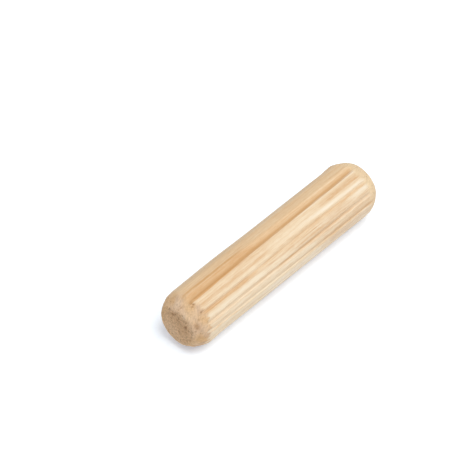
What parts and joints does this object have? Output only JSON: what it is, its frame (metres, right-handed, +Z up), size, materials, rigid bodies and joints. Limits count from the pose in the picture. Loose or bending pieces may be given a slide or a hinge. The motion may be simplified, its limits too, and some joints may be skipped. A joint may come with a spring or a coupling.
{
  "type": "fluted wooden dowel pin",
  "caption": "Short round wooden pin with straight pressed flutes and rounded ends, glued into matching holes to line up and join two boards.",
  "frame": {"origin": "on the surface the pin lies on, below the middle of its length", "axes": "+X along the pin, +Z up; the pin lies on its side, with a flute exactly below its axis"},
  "size_m": [0.035, 0.008, 0.0079],
  "materials": {
    "wood": "matt, bare, as pressed and sawn"
  },
  "bodies": {
    "root": {"dowel_pin": "wood"}
  },
  "joints": []
}
